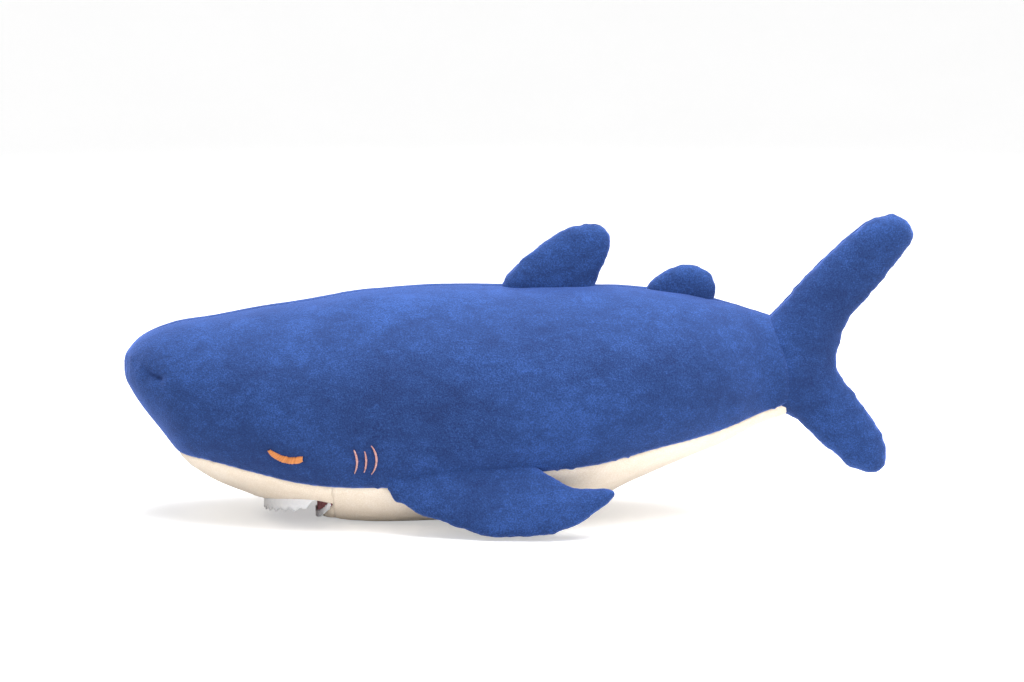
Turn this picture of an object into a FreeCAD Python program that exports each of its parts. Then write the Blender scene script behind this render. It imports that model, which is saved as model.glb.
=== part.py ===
import FreeCAD, Part
import math
import os
import re

import Sketcher
from FreeCAD import Matrix, Placement, Rotation, Vector

# A plush shark, 600 mm from nose to tail. The nose points along -X and +Z is up. The origin lies
# on the flat underside that the toy rests on, below the middle of its body.

doc = FreeCAD.newDocument("plush_shark")
sheet = doc.addObject("Spreadsheet::Sheet", "Sizes")

# Cross-sections of the body: name, x, half width, height of the back, of the widest line and
# of the belly. Belly heights below zero are cut off flat at the resting plane.
STATIONS = [
    ("nose_tip", -299, 9, 124, 115, 106),
    ("nose", -293.5, 22, 131, 112, 96),
    ("muzzle", -284, 36, 139, 109, 81),
    ("snout", -271, 48, 146, 104, 64),
    ("chin", -256, 58, 150, 97, 44),
    ("jaw", -238, 66, 153, 91, 31),
    ("cheek", -205, 76, 159, 85, 17),
    ("throat", -165, 84, 165, 80, 2),
    ("gill", -130, 88, 171.5, 79, -5),
    ("shoulder", -70, 90, 177, 80, -6),
    ("back", 0, 89, 177, 82, -5),
    ("loin", 45, 84, 177, 89, 7),
    ("flank", 85, 76, 176, 98, 26),
    ("stem", 125, 64, 171, 106, 44.5),
    ("wrist", 160, 45, 163, 110, 58),
    ("tail_seam", 186, 26, 155.5, 113, 71),
]

# Driving dimensions in millimetres and degrees.
SIZES = {
    # fabric and filling
    "skin": 2.0,                   # thickness of the pile fabric
    "filling_gap": 0.3,            # air between the fabric and the filling
    "nose_start": -250,            # where the sides begin to close towards the nose
    # mouth: a crescent pocket between a wide upper lip and a shallower lower lip
    "mouth_x": -140,
    "mouth_half_width": 58,
    "lower_lip_radius": 79.8,
    "lower_lip_x": -85.2,
    "mouth_floor": -10,
    "mouth_roof": 32,
    "lining": 1.5,
    "felt": 1.2,                   # thickness of the tooth strips
    "felt_gap": 0.2,
    "tooth_circle": 5.4,           # outer circle of the triangular notch between two teeth
    "upper_tooth_tip": 7,
    "upper_tooth_sewn": 26,
    "upper_strip_reach": 53,       # half width of the strip across the mouth
    "lower_tooth_tip": 12,
    "lower_tooth_sewn": 0.5,
    "lower_strip_reach": 38,
    # embroidery
    "thread_height": 1.2,
    "eye_x": -172.7,
    "eye_height": 69.7,
    "eye_radius": 16.1,
    "eye_width": 4.6,
    "gill_first_x": -139.5,
    "gill_height": 58.9,
    "gill_radius": 19.9,
    "gill_width": 2.3,
    "gill_pitch": 7,
    "stitch_width": 1.2,
    "stitch_length": 7,
    "stitch_pitch": 7,
    "stitch_first_x": 60,
    "stitch_count": 6,
    # care label
    "label_x": 120,
    "label_y": 47.7,
    "label_top": 66,
    "label_width": 22,
    "label_length": 22,
    "label_thickness": 0.8,
    # fins: thickness, edge rounding, length of the sewn root and place of its hinge line
    "root_step": 0.25,             # the round root is this much slimmer than the fin
    "dorsal_thickness": 16,
    "dorsal_round": 5,
    "dorsal_root": 72,
    "dorsal_x": -12,
    "dorsal_height": 186,
    "rear_dorsal_thickness": 12,
    "rear_dorsal_round": 4,
    "rear_dorsal_root": 48,
    "rear_dorsal_x": 97,
    "rear_dorsal_height": 182.8,
    "rear_dorsal_slope": 10.5,
    "pectoral_thickness": 14,
    "pectoral_round": 4,
    "pectoral_root": 150,
    "pectoral_x": -95.6,
    "pectoral_y": 83.2,
    "pectoral_height": 24.0,
    "pectoral_rise": 6.3,
    "pectoral_toe": 1.6,
    "pectoral_lean": 22.7,
    "tail_thickness": 28,
    "tail_round": 6,
    "tail_root": 84,
    "tail_x": 200.6,
    "tail_height": 76,
}

# Height of the seam between the blue back and the pale belly, from the snout to the tail.
SIDE_SEAM = [
    (-263, 52), (-235, 50), (-200, 43), (-160, 35.5), (-100, 34.5), (-40, 40),
    (20, 47.5), (60, 51), (100, 59.5), (140, 67), (165, 74), (190, 82.5),
]

# Fin outlines from the front of the root line to its rear, along the root and away from it.
DORSAL_OUTLINE = [
    (0, 0), (16, 15), (32, 25.5), (46, 33.5), (60, 37), (73, 36), (80, 28), (79, 15), (72, 0),
]
REAR_DORSAL_OUTLINE = [(0, 0), (8, 7), (19, 12.5), (31, 15), (42, 13), (49, 7), (48, 0)]
PECTORAL_OUTLINE = [
    (0, 0), (8, 10), (46, 27.5), (95, 36), (124, 34.5), (150, 27), (165, 15), (160, 4), (150, 0),
]
TAIL_OUTLINE = [
    (0, 0), (-13, 20), (-32, 42), (-43.5, 60), (-45, 72), (-34, 80.5), (-8, 73), (18, 55),
    (36, 41.5), (54, 42), (90, 62), (131, 94), (146, 96), (155, 84), (153, 70), (139, 48),
    (112, 19), (84, 0),
]


def fill_sheet():
    """Write every driving dimension into the spreadsheet, one row each."""
    rows = dict(SIZES)
    for name, x, half_width, top, widest, bottom in STATIONS:
        rows[name + "_x"] = x
        rows[name + "_half_width"] = half_width
        rows[name + "_top"] = top
        rows[name + "_widest"] = widest
        rows[name + "_bottom"] = bottom
    for row, (alias, value) in enumerate(rows.items(), start=1):
        sheet.set("A%d" % row, alias.replace("_", " "))
        sheet.set("B%d" % row, str(value))
        sheet.setAlias("B%d" % row, alias)
    doc.recompute()


def size(alias):
    return float(sheet.get(alias))


def bind(thing, **expressions):
    """Bind properties to sums of the sheet's names. Base_x means Placement.Base.x."""
    for name, expression in expressions.items():
        target = name.replace("Base_", "Placement.Base.")
        thing.setExpression(target, re.sub("([a-z][a-z_]+)", r"Sizes.\1", expression))


def cut(name, base, tool):
    result = doc.addObject("Part::Cut", name)
    result.Base = base
    result.Tool = tool
    return result


def common(name, base, tool):
    result = doc.addObject("Part::Common", name)
    result.Base = base
    result.Tool = tool
    return result


def fuse(name, shapes):
    result = doc.addObject("Part::MultiFuse", name)
    result.Shapes = shapes
    return result


def labelled(thing, label):
    """Mark a finished sub-part: its label is the name of its node."""
    thing.Label = label
    finished.append(thing)
    return thing


finished = []
fill_sheet()


# Body form: rounded sections lofted from nose to tail, made at several insets.

def section(station, inset, suffix):
    """One cross-section: a half ellipse above the widest line and another below it."""
    x = size(station + "_x")
    reach = size("nose_start") - size("nose_tip_x")
    x += inset * max(0, size("nose_start") - x) / reach
    if station == STATIONS[-1][0]:
        x -= inset
    half_width = size(station + "_half_width") - inset
    widest = size(station + "_widest")
    edges = []
    for side, height in ((1, size(station + "_top") - widest), (-1, widest - size(station + "_bottom"))):
        arc = Part.Arc(Vector(0, side, 0), Vector(0, 0, side), Vector(0, -side, 0)).toShape()
        scale = Matrix(1, 0, 0, x, 0, half_width, 0, 0, 0, 0, height - inset, widest, 0, 0, 0, 1)
        edges.append(arc.transformGeometry(scale))
    ring = doc.addObject("Part::Feature", station + suffix)
    ring.Shape = Part.Wire(edges)
    return ring


def body_form(name, inset, flat):
    """The whole body, inset from the outside of the fabric. It is cut flat below the belly."""
    loft = doc.addObject("Part::Loft", name + "_loft")
    loft.Sections = [section(station[0], inset, "_" + name) for station in STATIONS]
    loft.Solid = True
    below = doc.addObject("Part::Box", name + "_below")
    bind(below, Length="tail_seam_x - nose_tip_x + 100", Width="300", Height="60")
    below.Placement.Base = Vector(size("nose_tip_x") - 50, -150, flat - 60)
    return cut(name, loft, below)


def half_space(name, side):
    """A block that holds everything on one side of the middle plane: -1 left, 1 right."""
    block = doc.addObject("Part::Box", name)
    bind(block, Length="tail_seam_x - nose_tip_x + 100", Width="150", Height="300")
    block.Placement.Base = Vector(size("nose_tip_x") - 50, -150 if side < 0 else 0, -50)
    return block


def belly_region():
    """Everything below the side seam, as one block across the body."""
    curve = Part.BSplineCurve()
    curve.interpolate([Vector(x, -150, z) for x, z in SIDE_SEAM])
    front = Vector(SIDE_SEAM[0][0], -150, SIDE_SEAM[0][1])
    rear = Vector(SIDE_SEAM[-1][0], -150, SIDE_SEAM[-1][1])
    low_rear = Vector(rear.x, -150, -60)
    low_front = Vector(front.x, -150, -60)
    edges = [curve.toShape(), Part.makeLine(rear, low_rear), Part.makeLine(low_rear, low_front),
             Part.makeLine(low_front, front)]
    profile = doc.addObject("Part::Feature", "side_seam_profile")
    profile.Shape = Part.Face(Part.Wire(edges))
    block = doc.addObject("Part::Extrusion", "below_side_seam")
    block.Base = profile
    block.DirMode = "Custom"
    block.Dir = Vector(0, 1, 0)
    block.LengthFwd = 300
    block.Solid = True
    return block


def mouth_crescent(name, inset):
    """The mouth's space: inside the upper lip's circle, ahead of the lower lip's circle."""
    upper = doc.addObject("Part::Cylinder", name + "_upper")
    lower = doc.addObject("Part::Cylinder", name + "_lower")
    height = "mouth_roof - mouth_floor - (%s)" % inset
    bind(upper, Radius="mouth_half_width - (%s)" % inset, Height=height,
         Base_x="mouth_x", Base_z="mouth_floor")
    bind(lower, Radius="lower_lip_radius + (%s)" % inset, Height=height,
         Base_x="lower_lip_x", Base_z="mouth_floor")
    return cut(name, upper, lower)


outside = body_form("outside", 0, 0)
inside = body_form("inside", size("skin"), size("skin"))
filling = body_form("filling", size("skin") + size("filling_gap"), size("skin") + size("filling_gap"))
thread_surface = body_form("thread_surface", -size("thread_height"), 0)
left_half = half_space("left_half", -1)
right_half = half_space("right_half", 1)
below_seam = belly_region()
mouth = mouth_crescent("mouth", "0")
mouth_for_filling = mouth_crescent("mouth_for_filling", "-filling_gap")
mouth_inside = mouth_crescent("mouth_inside", "lining")


# Body panels: the fabric shell, split at the back seam, the side seams and the mouth.

def body_panels():
    shell = cut("body_shell", cut("whole_shell", outside, inside), mouth)
    upper = cut("upper_shell", shell, below_seam)
    lower = common("lower_shell", shell, below_seam)
    ahead = doc.addObject("Part::Box", "ahead_of_mouth_corners")
    bind(ahead, Length="mouth_x - nose_tip_x + 50", Width="300", Height="300",
         Base_x="nose_tip_x - 50", Base_y="-150", Base_z="-50")
    labelled(common("back_left", upper, left_half), "back_panel_left")
    labelled(common("back_right", upper, right_half), "back_panel_right")
    labelled(common("snout", lower, ahead), "snout_underside_panel")
    labelled(cut("belly", lower, ahead), "belly_panel")
    labelled(cut("body_fill", filling, mouth_for_filling), "body_stuffing")


# Mouth: a fabric pocket and two felt strips cut into teeth.

def tube_wall(name, radius, thickness, centre, low, high):
    """An upright ring of felt between two cylinders."""
    outer = doc.addObject("Part::Cylinder", name + "_outer")
    inner = doc.addObject("Part::Cylinder", name + "_inner")
    for wall, reach in ((outer, radius), (inner, "%s - %s" % (radius, thickness))):
        bind(wall, Radius=reach, Height="%s - %s" % (high, low), Base_x=centre, Base_z=low)
    return cut(name + "_ring", outer, inner)


def notches(name, centre, radius, tip, point_up, half_angle, count):
    """Triangular prisms that cut the gaps between teeth, spread round a circle."""
    prisms = []
    for i in range(count):
        turn = 180 + half_angle * (2 * i / (count - 1) - 1)
        prism = doc.addObject("Part::Prism", "%s_%d" % (name, i + 1))
        prism.Polygon = 3
        bind(prism, Circumradius="tooth_circle", Height="20")
        prism.Placement = (
            Placement(Vector(size(centre), 0, size(tip)), Rotation(Vector(0, 0, 1), turn))
            * Placement(Vector(radius - 10, 0, 0), Rotation(Vector(0, 1, 0), 90))
        )
        if point_up:
            prism.Placement = prism.Placement * Placement(Vector(), Rotation(Vector(0, 0, 1), 180))
        prisms.append(prism)
    return fuse(name, prisms)


def strip_reach(name, reach):
    block = doc.addObject("Part::Box", name)
    bind(block, Length="200", Width="2 * " + reach, Height="100",
         Base_x="mouth_x - 100", Base_y="-" + reach, Base_z="-10")
    return block


def mouth_pieces():
    pocket = cut("pocket_wall", mouth, mouth_inside)
    labelled(common("pocket", pocket, outside), "mouth_lining")

    upper_radius = "mouth_half_width - lining - felt_gap"
    ring = tube_wall("upper_felt", upper_radius, "felt", "mouth_x", "upper_tooth_tip", "upper_tooth_sewn")
    toothed = cut("upper_toothed", ring,
                  notches("upper_notch", "mouth_x", size("mouth_half_width"), "upper_tooth_tip", True, 62, 13))
    labelled(common("upper_strip", common("upper_in_mouth", toothed, mouth_inside),
                    strip_reach("upper_reach", "upper_strip_reach")), "upper_teeth")

    lower_radius = "lower_lip_radius + lining + felt_gap + felt"
    ring = tube_wall("lower_felt", lower_radius, "felt", "lower_lip_x", "lower_tooth_sewn", "lower_tooth_tip")
    toothed = cut("lower_toothed", ring,
                  notches("lower_notch", "lower_lip_x", size("lower_lip_radius"), "lower_tooth_tip", False, 26, 8))
    labelled(common("lower_strip", common("lower_in_mouth", toothed, mouth_inside),
                    strip_reach("lower_reach", "lower_strip_reach")), "lower_teeth")


# Embroidery: satin stitch that stands a little above the fabric and follows its curve.

def arc_slot(name, centre_x, centre_z, radius, width, start, end):
    """A round-ended bar bent along an arc in the side view, as a pad right across the body."""
    body = doc.addObject("PartDesign::Body", name)
    sketch = body.newObject("Sketcher::SketchObject", name + "_sketch")
    plane = [f for f in body.Origin.OriginFeatures if f.Role == "XZ_Plane"][0]
    sketch.AttachmentSupport = [(plane, "")]
    sketch.MapMode = "FlatFace"
    middle = Vector(centre_x, centre_z, 0)
    low, high = math.radians(start), math.radians(end)
    half = size(width) / 2
    line = size(radius)

    def on_line(angle):
        return middle + Vector(line * math.cos(angle), line * math.sin(angle), 0)

    normal = Vector(0, 0, 1)
    arcs = [
        (middle, line + half, low, high),
        (on_line(high), half, high, high + math.pi),
        (middle, line - half, low, high),
        (on_line(low), half, low + math.pi, low + 2 * math.pi),
    ]
    for centre, reach, first, last in arcs:
        sketch.addGeometry(Part.ArcOfCircle(Part.Circle(centre, normal, reach), first, last), False)
    for one, one_end, two, two_end in ((0, 2, 1, 1), (1, 2, 2, 2), (2, 1, 3, 1), (3, 2, 0, 1)):
        sketch.addConstraint(Sketcher.Constraint("Tangent", one, one_end, two, two_end))
    sketch.addConstraint(Sketcher.Constraint("Coincident", 0, 3, 2, 3))
    outer_radius = sketch.addConstraint(Sketcher.Constraint("Radius", 0, line + half))
    sketch.renameConstraint(outer_radius, "outer_radius")
    sketch.setExpression("Constraints.outer_radius", "Sizes.%s + Sizes.%s / 2" % (radius, width))
    pad = body.newObject("PartDesign::Pad", name + "_pad")
    pad.Profile = sketch
    pad.Midplane = True
    pad.Length = 300
    return body


def embroidery():
    raised = cut("raised_thread", thread_surface, outside)
    eye = arc_slot("eye_bar", size("eye_x"), size("eye_height"), "eye_radius", "eye_width", 205, 312)
    eyes = common("eyes", raised, eye)
    bars = []
    for i, half_angle in enumerate((31, 31, 36)):
        centre_x = size("gill_first_x") + i * size("gill_pitch")
        bars.append(arc_slot("gill_bar_%d" % (i + 1), centre_x, size("gill_height"),
                             "gill_radius", "gill_width", -half_angle, half_angle))
    gills = common("gills", raised, fuse("gill_bars", bars))
    for side, half in (("left", left_half), ("right", right_half)):
        labelled(common("eye_" + side, eyes, half), "eye_embroidery_" + side)
        labelled(common("gill_" + side, gills, half), "gill_embroidery_" + side)


def closing_stitches():
    """Hand stitches that close the stuffing hole, across the right side seam."""
    seam = Part.BSplineCurve()
    seam.interpolate([Vector(x, 0, z) for x, z in SIDE_SEAM])
    bars = []
    for i in range(int(size("stitch_count"))):
        x = size("stitch_first_x") + i * size("stitch_pitch")
        z = seam.value(seam.parameter(Vector(x, 0, 55))).z
        bar = doc.addObject("Part::Box", "stitch_%d" % (i + 1))
        bind(bar, Length="stitch_width", Width="120", Height="stitch_length")
        bar.Placement.Base = Vector(x, 0, z - size("stitch_length") / 2)
        bars.append(bar)
    raised = cut("raised_stitch_thread", thread_surface, outside)
    labelled(common("closing", raised, fuse("stitches", bars)), "closing_stitches")


def care_label():
    """A blank tape label, folded double, that hangs from the right side seam."""
    label = doc.addObject("Part::Box", "label")
    bind(label, Length="label_width", Width="label_thickness", Height="label_length",
         Base_x="label_x", Base_y="label_y", Base_z="label_top - label_length")
    labelled(cut("label_on_skin", label, outside), "care_label")


# Fins: each is two fabric panels round a filling. In a fin's own frame X runs along the root,
# which is the hinge line, Y runs away from the body and Z across the thickness.

def inset_outline(points, inset):
    """Move an outline inwards, keeping its two ends on the root line."""
    result = [Vector(points[0][0] + inset, 0, 0)]
    for before, here, after in zip(points, points[1:], points[2:]):
        along = Vector(after[0] - before[0], after[1] - before[1], 0).normalize()
        result.append(Vector(here[0] + along.y * inset, here[1] - along.x * inset, 0))
    result.append(Vector(points[-1][0] - inset, 0, 0))
    return result


def fin_form(name, outline, fin, inset, rounded):
    """A padded plate with a round root, inset from the outside of its fabric."""
    body = doc.addObject("PartDesign::Body", name + "_plate")
    sketch = body.newObject("Sketcher::SketchObject", name + "_sketch")
    plane = [f for f in body.Origin.OriginFeatures if f.Role == "XY_Plane"][0]
    sketch.AttachmentSupport = [(plane, "")]
    sketch.MapMode = "FlatFace"
    points = inset_outline(outline, inset)
    edge = Part.BSplineCurve()
    edge.interpolate(points)
    sketch.addGeometry(edge, False)
    sketch.addGeometry(Part.LineSegment(points[-1], points[0]), False)
    sketch.addConstraint(Sketcher.Constraint("Coincident", 0, 2, 1, 1))
    sketch.addConstraint(Sketcher.Constraint("Coincident", 1, 2, 0, 1))
    pad = body.newObject("PartDesign::Pad", name + "_pad")
    pad.Profile = sketch
    pad.Midplane = True
    bind(pad, Length="%s_thickness - 2 * %g" % (fin, inset))
    doc.recompute()
    if rounded:
        rims = [
            "Edge%d" % (i + 1) for i, rim in enumerate(pad.Shape.Edges)
            if rim.Curve.TypeId == "Part::GeomBSplineCurve"
        ]
        fillet = body.newObject("PartDesign::Fillet", name + "_round")
        fillet.Base = (pad, rims)
        bind(fillet, Radius="%s_round" % fin)
    root = doc.addObject("Part::Cylinder", name + "_root")
    bind(root, Radius="%s_thickness / 2 - root_step - %g" % (fin, inset),
         Height="%s_root - 2 * %g" % (fin, inset))
    root.Placement = Placement(Vector(inset, 0, 0), Rotation(Vector(0, 1, 0), 90))
    return fuse(name, [body, root])


def fin_side(name, side):
    block = doc.addObject("Part::Box", name)
    bind(block, Length="400", Width="300", Height="50")
    block.Placement.Base = Vector(-100, -50, 0 if side > 0 else -50)
    return block


def fin_pieces(fin, outline, labels, placement):
    """Two panels and a filling; labels are (panel at +Z, panel at -Z, filling)."""
    skin = size("skin")
    outer = fin_form(fin + "_outer", outline, fin, 0, True)
    inner = fin_form(fin + "_inner", outline, fin, skin, False)
    core = fin_form(fin + "_core", outline, fin, skin + size("filling_gap"), False)
    shell = cut(fin + "_shell", outer, inner)
    pieces = [common(fin + "_high", shell, fin_side(fin + "_high_side", 1)),
              common(fin + "_low", shell, fin_side(fin + "_low_side", -1)), core]
    for piece, label in zip(pieces, labels):
        piece.Placement = placement
        labelled(piece, label)
    return pieces


def fins():
    along_back = Rotation(Vector(1, 0, 0), 90)
    fin_pieces("dorsal", DORSAL_OUTLINE,
               ("dorsal_fin_panel_left", "dorsal_fin_panel_right", "dorsal_fin_stuffing"),
               Placement(Vector(size("dorsal_x"), 0, size("dorsal_height")), along_back))
    fin_pieces("rear_dorsal", REAR_DORSAL_OUTLINE,
               ("rear_dorsal_fin_panel_left", "rear_dorsal_fin_panel_right", "rear_dorsal_fin_stuffing"),
               Placement(Vector(size("rear_dorsal_x"), 0, size("rear_dorsal_height")),
                         Rotation(Vector(0, 1, 0), size("rear_dorsal_slope")) * along_back))
    fin_pieces("tail", TAIL_OUTLINE,
               ("tail_fin_panel_right", "tail_fin_panel_left", "tail_fin_stuffing"),
               Placement(Vector(size("tail_x"), 0, size("tail_height")),
                         Rotation(Vector(0, 0, 1), Vector(1, 0, 0), Vector(0, 1, 0), "XYZ")))
    turn = (Rotation(Vector(0, 0, 1), -size("pectoral_toe"))
            * Rotation(Vector(0, 1, 0), -size("pectoral_rise"))
            * Rotation(Vector(1, 0, 0), -90 - size("pectoral_lean")))
    place = Vector(size("pectoral_x"), -size("pectoral_y"), size("pectoral_height"))
    left = fin_pieces("pectoral", PECTORAL_OUTLINE,
                      ("pectoral_left_inner_panel", "pectoral_left_outer_panel", "pectoral_left_stuffing"),
                      Placement(place, turn))
    for piece in left:
        mirror = doc.addObject("Part::Mirroring", piece.Name + "_mirrored")
        mirror.Source = piece
        mirror.Normal = Vector(0, 1, 0)
        labelled(mirror, piece.Label.replace("left", "right"))


def check_and_write():
    """Stop at any failed object, then write one file for each sub-part."""
    doc.recompute()
    for thing in doc.Objects:
        if "Invalid" in thing.State or "Error" in thing.State:
            raise RuntimeError("%s did not compute" % thing.Name)
    for thing in finished:
        if thing.Shape.isNull() or not thing.Shape.isValid() or not thing.Shape.Solids:
            raise RuntimeError("%s has no valid solid" % thing.Label)
    os.makedirs("parts", exist_ok=True)
    for thing in finished:
        thing.Shape.exportStep(os.path.join("parts", thing.Label + ".step"))
        print("%-30s %8.0f mm3  %d solid(s)" % (thing.Label, thing.Shape.Volume, len(thing.Shape.Solids)))


body_panels()
mouth_pieces()
embroidery()
closing_stitches()
care_label()
fins()
check_and_write()
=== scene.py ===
import math

import bmesh
import bpy
import numpy as np
from mathutils import Matrix, Vector, noise
from mathutils.bvhtree import BVHTree
from mathutils.kdtree import KDTree


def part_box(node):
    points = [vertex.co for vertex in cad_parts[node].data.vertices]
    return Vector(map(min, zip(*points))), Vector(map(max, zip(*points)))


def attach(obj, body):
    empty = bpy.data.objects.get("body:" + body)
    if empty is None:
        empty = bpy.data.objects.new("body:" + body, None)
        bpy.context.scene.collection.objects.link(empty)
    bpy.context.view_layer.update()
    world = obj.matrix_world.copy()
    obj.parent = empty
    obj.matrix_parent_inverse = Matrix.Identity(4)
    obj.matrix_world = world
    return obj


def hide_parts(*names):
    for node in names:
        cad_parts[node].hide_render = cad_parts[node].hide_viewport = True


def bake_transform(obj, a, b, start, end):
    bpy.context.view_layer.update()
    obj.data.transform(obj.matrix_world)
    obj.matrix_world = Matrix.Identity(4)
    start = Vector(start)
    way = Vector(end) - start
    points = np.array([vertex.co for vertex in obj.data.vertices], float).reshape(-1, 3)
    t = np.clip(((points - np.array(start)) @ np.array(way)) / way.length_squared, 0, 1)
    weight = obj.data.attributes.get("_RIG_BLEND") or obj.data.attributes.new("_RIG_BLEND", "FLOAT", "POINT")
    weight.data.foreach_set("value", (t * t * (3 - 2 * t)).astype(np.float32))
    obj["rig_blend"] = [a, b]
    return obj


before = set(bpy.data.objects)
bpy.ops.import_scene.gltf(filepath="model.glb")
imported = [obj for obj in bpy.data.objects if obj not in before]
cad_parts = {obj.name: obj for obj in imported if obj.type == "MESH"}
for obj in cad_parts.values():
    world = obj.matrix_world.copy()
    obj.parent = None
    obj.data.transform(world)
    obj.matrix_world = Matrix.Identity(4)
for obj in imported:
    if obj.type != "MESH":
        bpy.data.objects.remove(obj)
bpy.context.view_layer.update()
MM = 0.001
scene = bpy.context.scene


# ---------------------------------------------------------------------------------------------
# Camera: square to the toy's left side and a little above it, on a long lens so that the nose
# and the tail are seen almost without perspective.
# ---------------------------------------------------------------------------------------------

CAMERA_TARGET = Vector((-6.5, 0, 133.7)) * MM
CAMERA_DISTANCE = 2.2
CAMERA_RISE = math.radians(9)

camera_data = bpy.data.cameras.new("camera")
camera_data.lens = 101.7
camera = bpy.data.objects.new("camera", camera_data)
scene.collection.objects.link(camera)
camera.location = CAMERA_TARGET + CAMERA_DISTANCE * Vector(
    (0, -math.cos(CAMERA_RISE), math.sin(CAMERA_RISE))
)
camera.rotation_euler = (CAMERA_TARGET - camera.location).to_track_quat("-Z", "Y").to_euler()
scene.camera = camera


# ---------------------------------------------------------------------------------------------
# Body cover: the outside of the stuffed body before it is parted into its cut panels. It is
# short-pile plush, sewn inside out along the spine, the two flanks and the lips, then turned.
# ---------------------------------------------------------------------------------------------

# x, half width, height of the back, of the widest line and of the belly, in millimetres
BODY_SECTIONS = [
    (-301.5, 9, 124.5, 115, 105.5), (-295.5, 22, 132, 112, 95), (-285, 36, 140, 109, 81),
    (-271, 48, 146, 104, 64), (-256, 58, 150, 97, 44), (-238, 66, 153, 91, 31),
    (-205, 76, 159, 85, 17), (-165, 84, 165, 80, 2), (-130, 88, 171.5, 79, -5),
    (-70, 90, 177, 80, -6), (0, 89, 177, 82, -5), (45, 84, 177, 89, 7),
    (85, 76, 176, 98, 26), (125, 64, 171, 106, 44.5), (160, 45, 163, 110, 58),
    (186, 26, 155.5, 113, 71), (208, 19, 150, 114, 78),
]
# height of the seam between the blue back and the pale belly
SIDE_SEAM = [
    (-263, 52), (-235, 50), (-200, 43), (-160, 35.5), (-100, 34.5), (-40, 40),
    (20, 47.5), (60, 51), (100, 59.5), (140, 67), (165, 74), (190, 82.5), (208, 88),
]
# where the tail is sewn on: height, x
TAIL_SEAM = [(70, 201), (78, 203.5), (100, 205), (128, 200), (155, 190.5), (162, 187)]
UPPER_LIP = (-140, 58)             # centre x and radius of the upper lip's curve
LOWER_LIP = (-35.4, 119.6)         # the same for the lower lip
# the dart that rounds the nose: x, distance from the middle, height
NOSE_DART = [(-298, 11, 116), (-290, 23, 117.5), (-280, 37, 116), (-270, 47, 113)]
COVER_INSET = 0.2                  # the cover starts this much smaller and is then stuffed
COVER_MESH = 4.6
COVER_SWELL = 4.0                  # how far the stuffing may push the cover out
FABRIC = 1.7                       # thickness of the plush
SEAM_DIP, SEAM_HOLLOW = 1.3, 0.5   # depth of a seam's groove and of the wider hollow round it
SEAM_ALLOWANCE = (1.3, 3.2)        # extra cuts beside a seam, so that its groove is sharp
FULL_SEAM, FAINT_SEAM = 100, 35    # how deep a seam is drawn in, in percent
DART_DEPTH = 1.8                   # the same for the dart, as a share
# embroidered arcs: x and height of the centre, radius, and the two ends in degrees
EYE_LINE = (-168.9, 79.3, 22.4, 221, 292)
GILL_LINES = [
    (-142.5, 57.3, 22, -25, 25), (-138.7, 58.2, 25, -22, 17), (-124.6, 58.9, 18.5, -38, 36),
]


def smooth_line(points, at):
    """Read a smooth line through (place, value, ...) points at other places."""
    points = np.array(points, float)
    place, value = points[:, 0], points[:, 1:]
    at = np.clip(np.atleast_1d(np.asarray(at, float)), place[0], place[-1])
    slope = np.gradient(value, place, axis=0)
    i = np.clip(np.searchsorted(place, at) - 1, 0, len(place) - 2)
    step = (place[i + 1] - place[i])[:, None]
    t = (at - place[i])[:, None] / step
    return ((2 * t**3 - 3 * t**2 + 1) * value[i] + (t**3 - 2 * t**2 + t) * step * slope[i]
            + (3 * t**2 - 2 * t**3) * value[i + 1] + (t**3 - t**2) * step * slope[i + 1])


def body_form(name, inset):
    """Rings of fabric bridged from nose to tail, closed at both ends and flat underneath."""
    rings = np.concatenate([np.arange(-301.5, -250, 3), np.arange(-250, 208, 5), [208]])
    rings[0] += inset
    shape = bmesh.new()
    last = None
    for x, (width, top, widest, bottom) in zip(rings, smooth_line(BODY_SECTIONS, rings)):
        made = bmesh.ops.create_circle(shape, cap_ends=False, segments=96, radius=1)
        for vert in made["verts"]:
            across, up = vert.co.x, vert.co.y
            height = top - widest - inset if up > 0 else widest - bottom - inset
            vert.co = Vector((x, across * (width - inset), max(widest + up * height, inset))) * MM
        ring = list({edge for vert in made["verts"] for edge in vert.link_edges})
        if last:
            bmesh.ops.bridge_loops(shape, edges=last + ring)
        else:
            bmesh.ops.contextual_create(shape, geom=ring)
        last = ring
    bmesh.ops.contextual_create(shape, geom=last)
    bmesh.ops.recalc_face_normals(shape, faces=shape.faces)
    return piece_from(name, shape)


def piece_from(name, shape):
    mesh = bpy.data.meshes.new(name)
    shape.to_mesh(mesh)
    shape.free()
    piece = bpy.data.objects.new(name, mesh)
    scene.collection.objects.link(piece)
    mesh.shade_smooth()
    return piece


def settled(piece):
    """Fix what the piece's modifiers do into its mesh."""
    graph = bpy.context.evaluated_depsgraph_get()
    mesh = bpy.data.meshes.new_from_object(piece.evaluated_get(graph))
    piece.modifiers.clear()
    piece.data = mesh
    mesh.shade_smooth()
    return piece


def even_mesh(piece, spacing):
    remesh = piece.modifiers.new("even_mesh", "REMESH")
    remesh.mode = "VOXEL"
    remesh.voxel_size = spacing * MM
    smooth = piece.modifiers.new("smooth", "SMOOTH")
    smooth.factor = 0.5
    smooth.iterations = 3
    return settled(piece)


def finer(piece):
    finer_mesh = piece.modifiers.new("finer", "SUBSURF")
    finer_mesh.levels = finer_mesh.render_levels = 1
    return settled(piece)


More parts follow.
